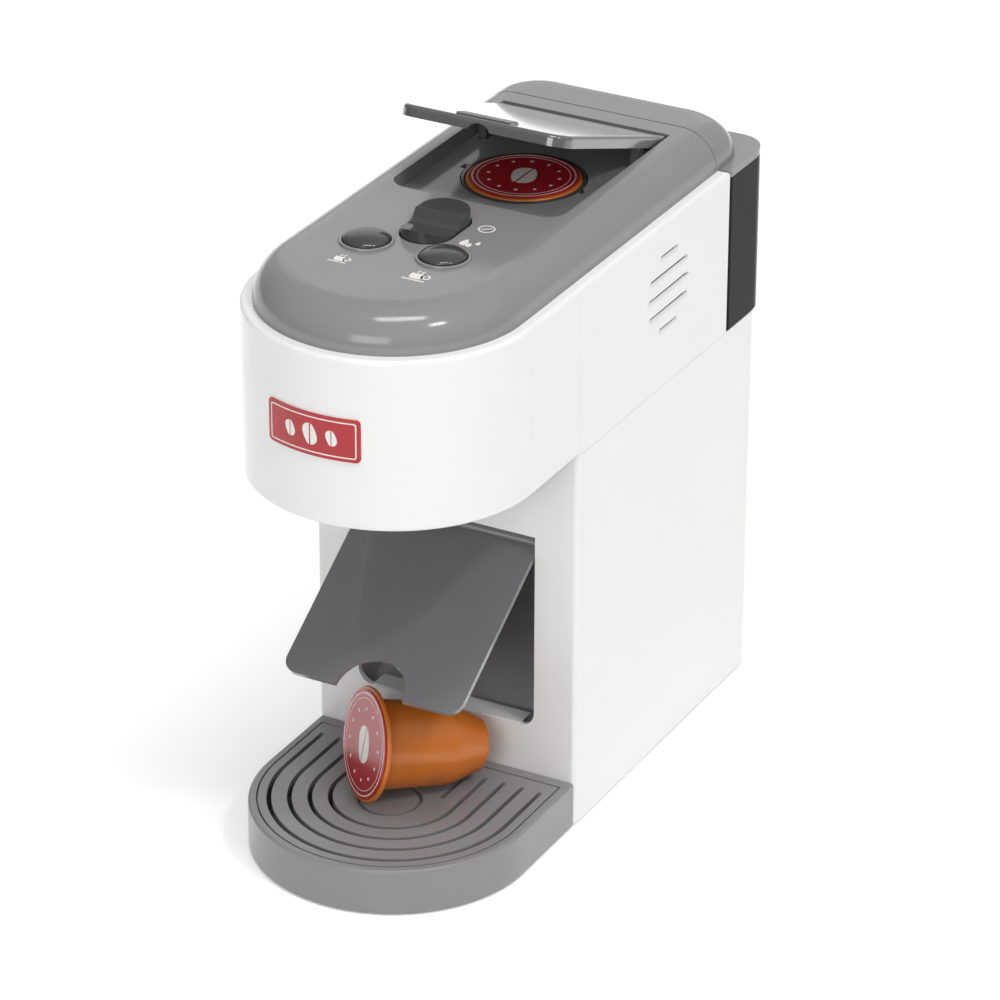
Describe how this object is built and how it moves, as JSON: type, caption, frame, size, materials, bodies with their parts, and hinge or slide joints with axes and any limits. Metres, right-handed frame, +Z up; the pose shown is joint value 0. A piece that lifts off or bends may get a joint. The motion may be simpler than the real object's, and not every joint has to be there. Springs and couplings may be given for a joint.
{
  "type": "toy coffee maker",
  "caption": "Toy capsule coffee maker with rounded head, half-open capsule lid, round buttons, see-through rear tank, opened eject flap and slotted drip tray.",
  "frame": {"origin": "on the table, under the middle of the footprint", "axes": "+X to the machine's right, +Y to its back, +Z up; it faces -Y"},
  "size_m": [0.11, 0.2498, 0.266],
  "materials": {
    "white_plastic": "satin moulded plastic",
    "grey_plastic": "fine satin moulded plastic",
    "dark_plastic": "smooth moulded plastic",
    "lid_plastic": "glossy moulded plastic",
    "tank_plastic": "smoked see-through plastic",
    "capsule_plastic": "glossy moulded plastic",
    "printed_label": "printed film",
    "black_rubber": "matte",
    "black_plastic": "matte",
    "steel": "zinc plated",
    "circuit_board": "lacquered board",
    "hose_plastic": "soft clear vinyl"
  },
  "bodies": {
    "housing": {"lower_housing": "white_plastic", "upper_housing": "white_plastic", "head_front_shell": "white_plastic", "base_plate": "white_plastic", "battery_door": "white_plastic", "deck_cover": "grey_plastic", "head_underside": "grey_plastic", "button_bezel_left": "grey_plastic", "button_bezel_right": "grey_plastic", "nozzle": "grey_plastic", "guide_sleeve": "grey_plastic", "drop_tube": "grey_plastic", "chute_liner": "dark_plastic", "label_plate": "printed_label", "foot_1": "black_rubber", "foot_2": "black_rubber", "foot_3": "black_rubber", "foot_4": "black_rubber", "battery_cell_1": "black_plastic", "battery_cell_2": "black_plastic", "battery_cell_3": "black_plastic", "button_switch_left": "black_plastic", "button_switch_right": "black_plastic", "rocker_switch": "black_plastic", "speaker": "black_plastic", "pump": "black_plastic", "tank_socket": "black_plastic", "battery_contact_front": "steel", "battery_contact_rear": "steel", "battery_door_screw": "steel", "base_screw_1": "steel", "base_screw_2": "steel", "base_screw_3": "steel", "base_screw_4": "steel", "lid_hinge_pin": "steel", "rocker_pin": "steel", "flap_hinge_pin": "steel", "control_board": "circuit_board", "supply_hose": "hose_plastic", "feed_hose": "hose_plastic"},
    "capsule_lid": {"capsule_lid": "lid_plastic"},
    "capsule_carrier": {"capsule_carrier": "dark_plastic", "fresh_capsule": "capsule_plastic", "fresh_capsule_label": "printed_label"},
    "eject_flap": {"eject_flap": "grey_plastic"},
    "water_tank": {"water_tank": "tank_plastic", "tank_valve": "black_plastic"},
    "tank_lid": {"tank_lid": "grey_plastic"},
    "drip_tray": {"drip_tray": "grey_plastic"},
    "drip_grille": {"drip_grille": "grey_plastic"},
    "spent_capsule": {"spent_capsule": "capsule_plastic", "spent_capsule_label": "printed_label"},
    "button_left": {"button_left": "dark_plastic"},
    "button_right": {"button_right": "dark_plastic"},
    "rocker_knob": {"rocker_knob": "dark_plastic"}
  },
  "joints": [
    {"name": "lid_hinge", "type": "hinge", "parent": "housing", "child": "capsule_lid", "pos_m": [0, 0.0759, 0.23335], "axis": [-1, 0, 0], "range_deg": [-20, 40]},
    {"name": "carrier_press", "type": "slide", "parent": "housing", "child": "capsule_carrier", "axis": [0, 0, 1], "range_m": [-0.0021, 0.0042]},
    {"name": "flap_hinge", "type": "hinge", "parent": "housing", "child": "eject_flap", "pos_m": [0, -0.0267, 0.1144], "axis": [1, 0, 0], "range_deg": [0, 56.5]},
    {"name": "spent_capsule_take_off", "type": "slide", "parent": "drip_grille", "child": "spent_capsule", "axis": [0, -1, 0], "range_m": [0, 0.079]},
    {"name": "tank_lift", "type": "slide", "parent": "housing", "child": "water_tank", "axis": [0, 0, 1], "range_m": [0, 0.07]},
    {"name": "tank_lid_lift", "type": "slide", "parent": "water_tank", "child": "tank_lid", "axis": [0, 0, 1], "range_m": [0, 0.02]},
    {"name": "tray_slide", "type": "slide", "parent": "housing", "child": "drip_tray", "axis": [0, -1, 0], "range_m": [0, 0.06]},
    {"name": "grille_lift", "type": "slide", "parent": "drip_tray", "child": "drip_grille", "axis": [0, 0, 1], "range_m": [0, 0.012]},
    {"name": "button_left_press", "type": "slide", "parent": "housing", "child": "button_left", "axis": [0, 0, -1], "range_m": [0, 0.0015], "stiffness_N_per_m": 400},
    {"name": "button_right_press", "type": "slide", "parent": "housing", "child": "button_right", "axis": [0, 0, -1], "range_m": [0, 0.0015], "stiffness_N_per_m": 400},
    {"name": "rocker_tilt", "type": "hinge", "parent": "housing", "child": "rocker_knob", "pos_m": [0, -0.0378, 0.2315], "axis": [1, 0, 0], "range_deg": [-5, 5], "stiffness_Nm_per_rad": 0.06}
  ],
  "couplings": [
    {"joint": "carrier_press", "follows": "lid_hinge", "m_per_rad": 0.006},
    {"joint": "spent_capsule_take_off", "follows": "flap_hinge", "m_per_rad": 0.08}
  ]
}
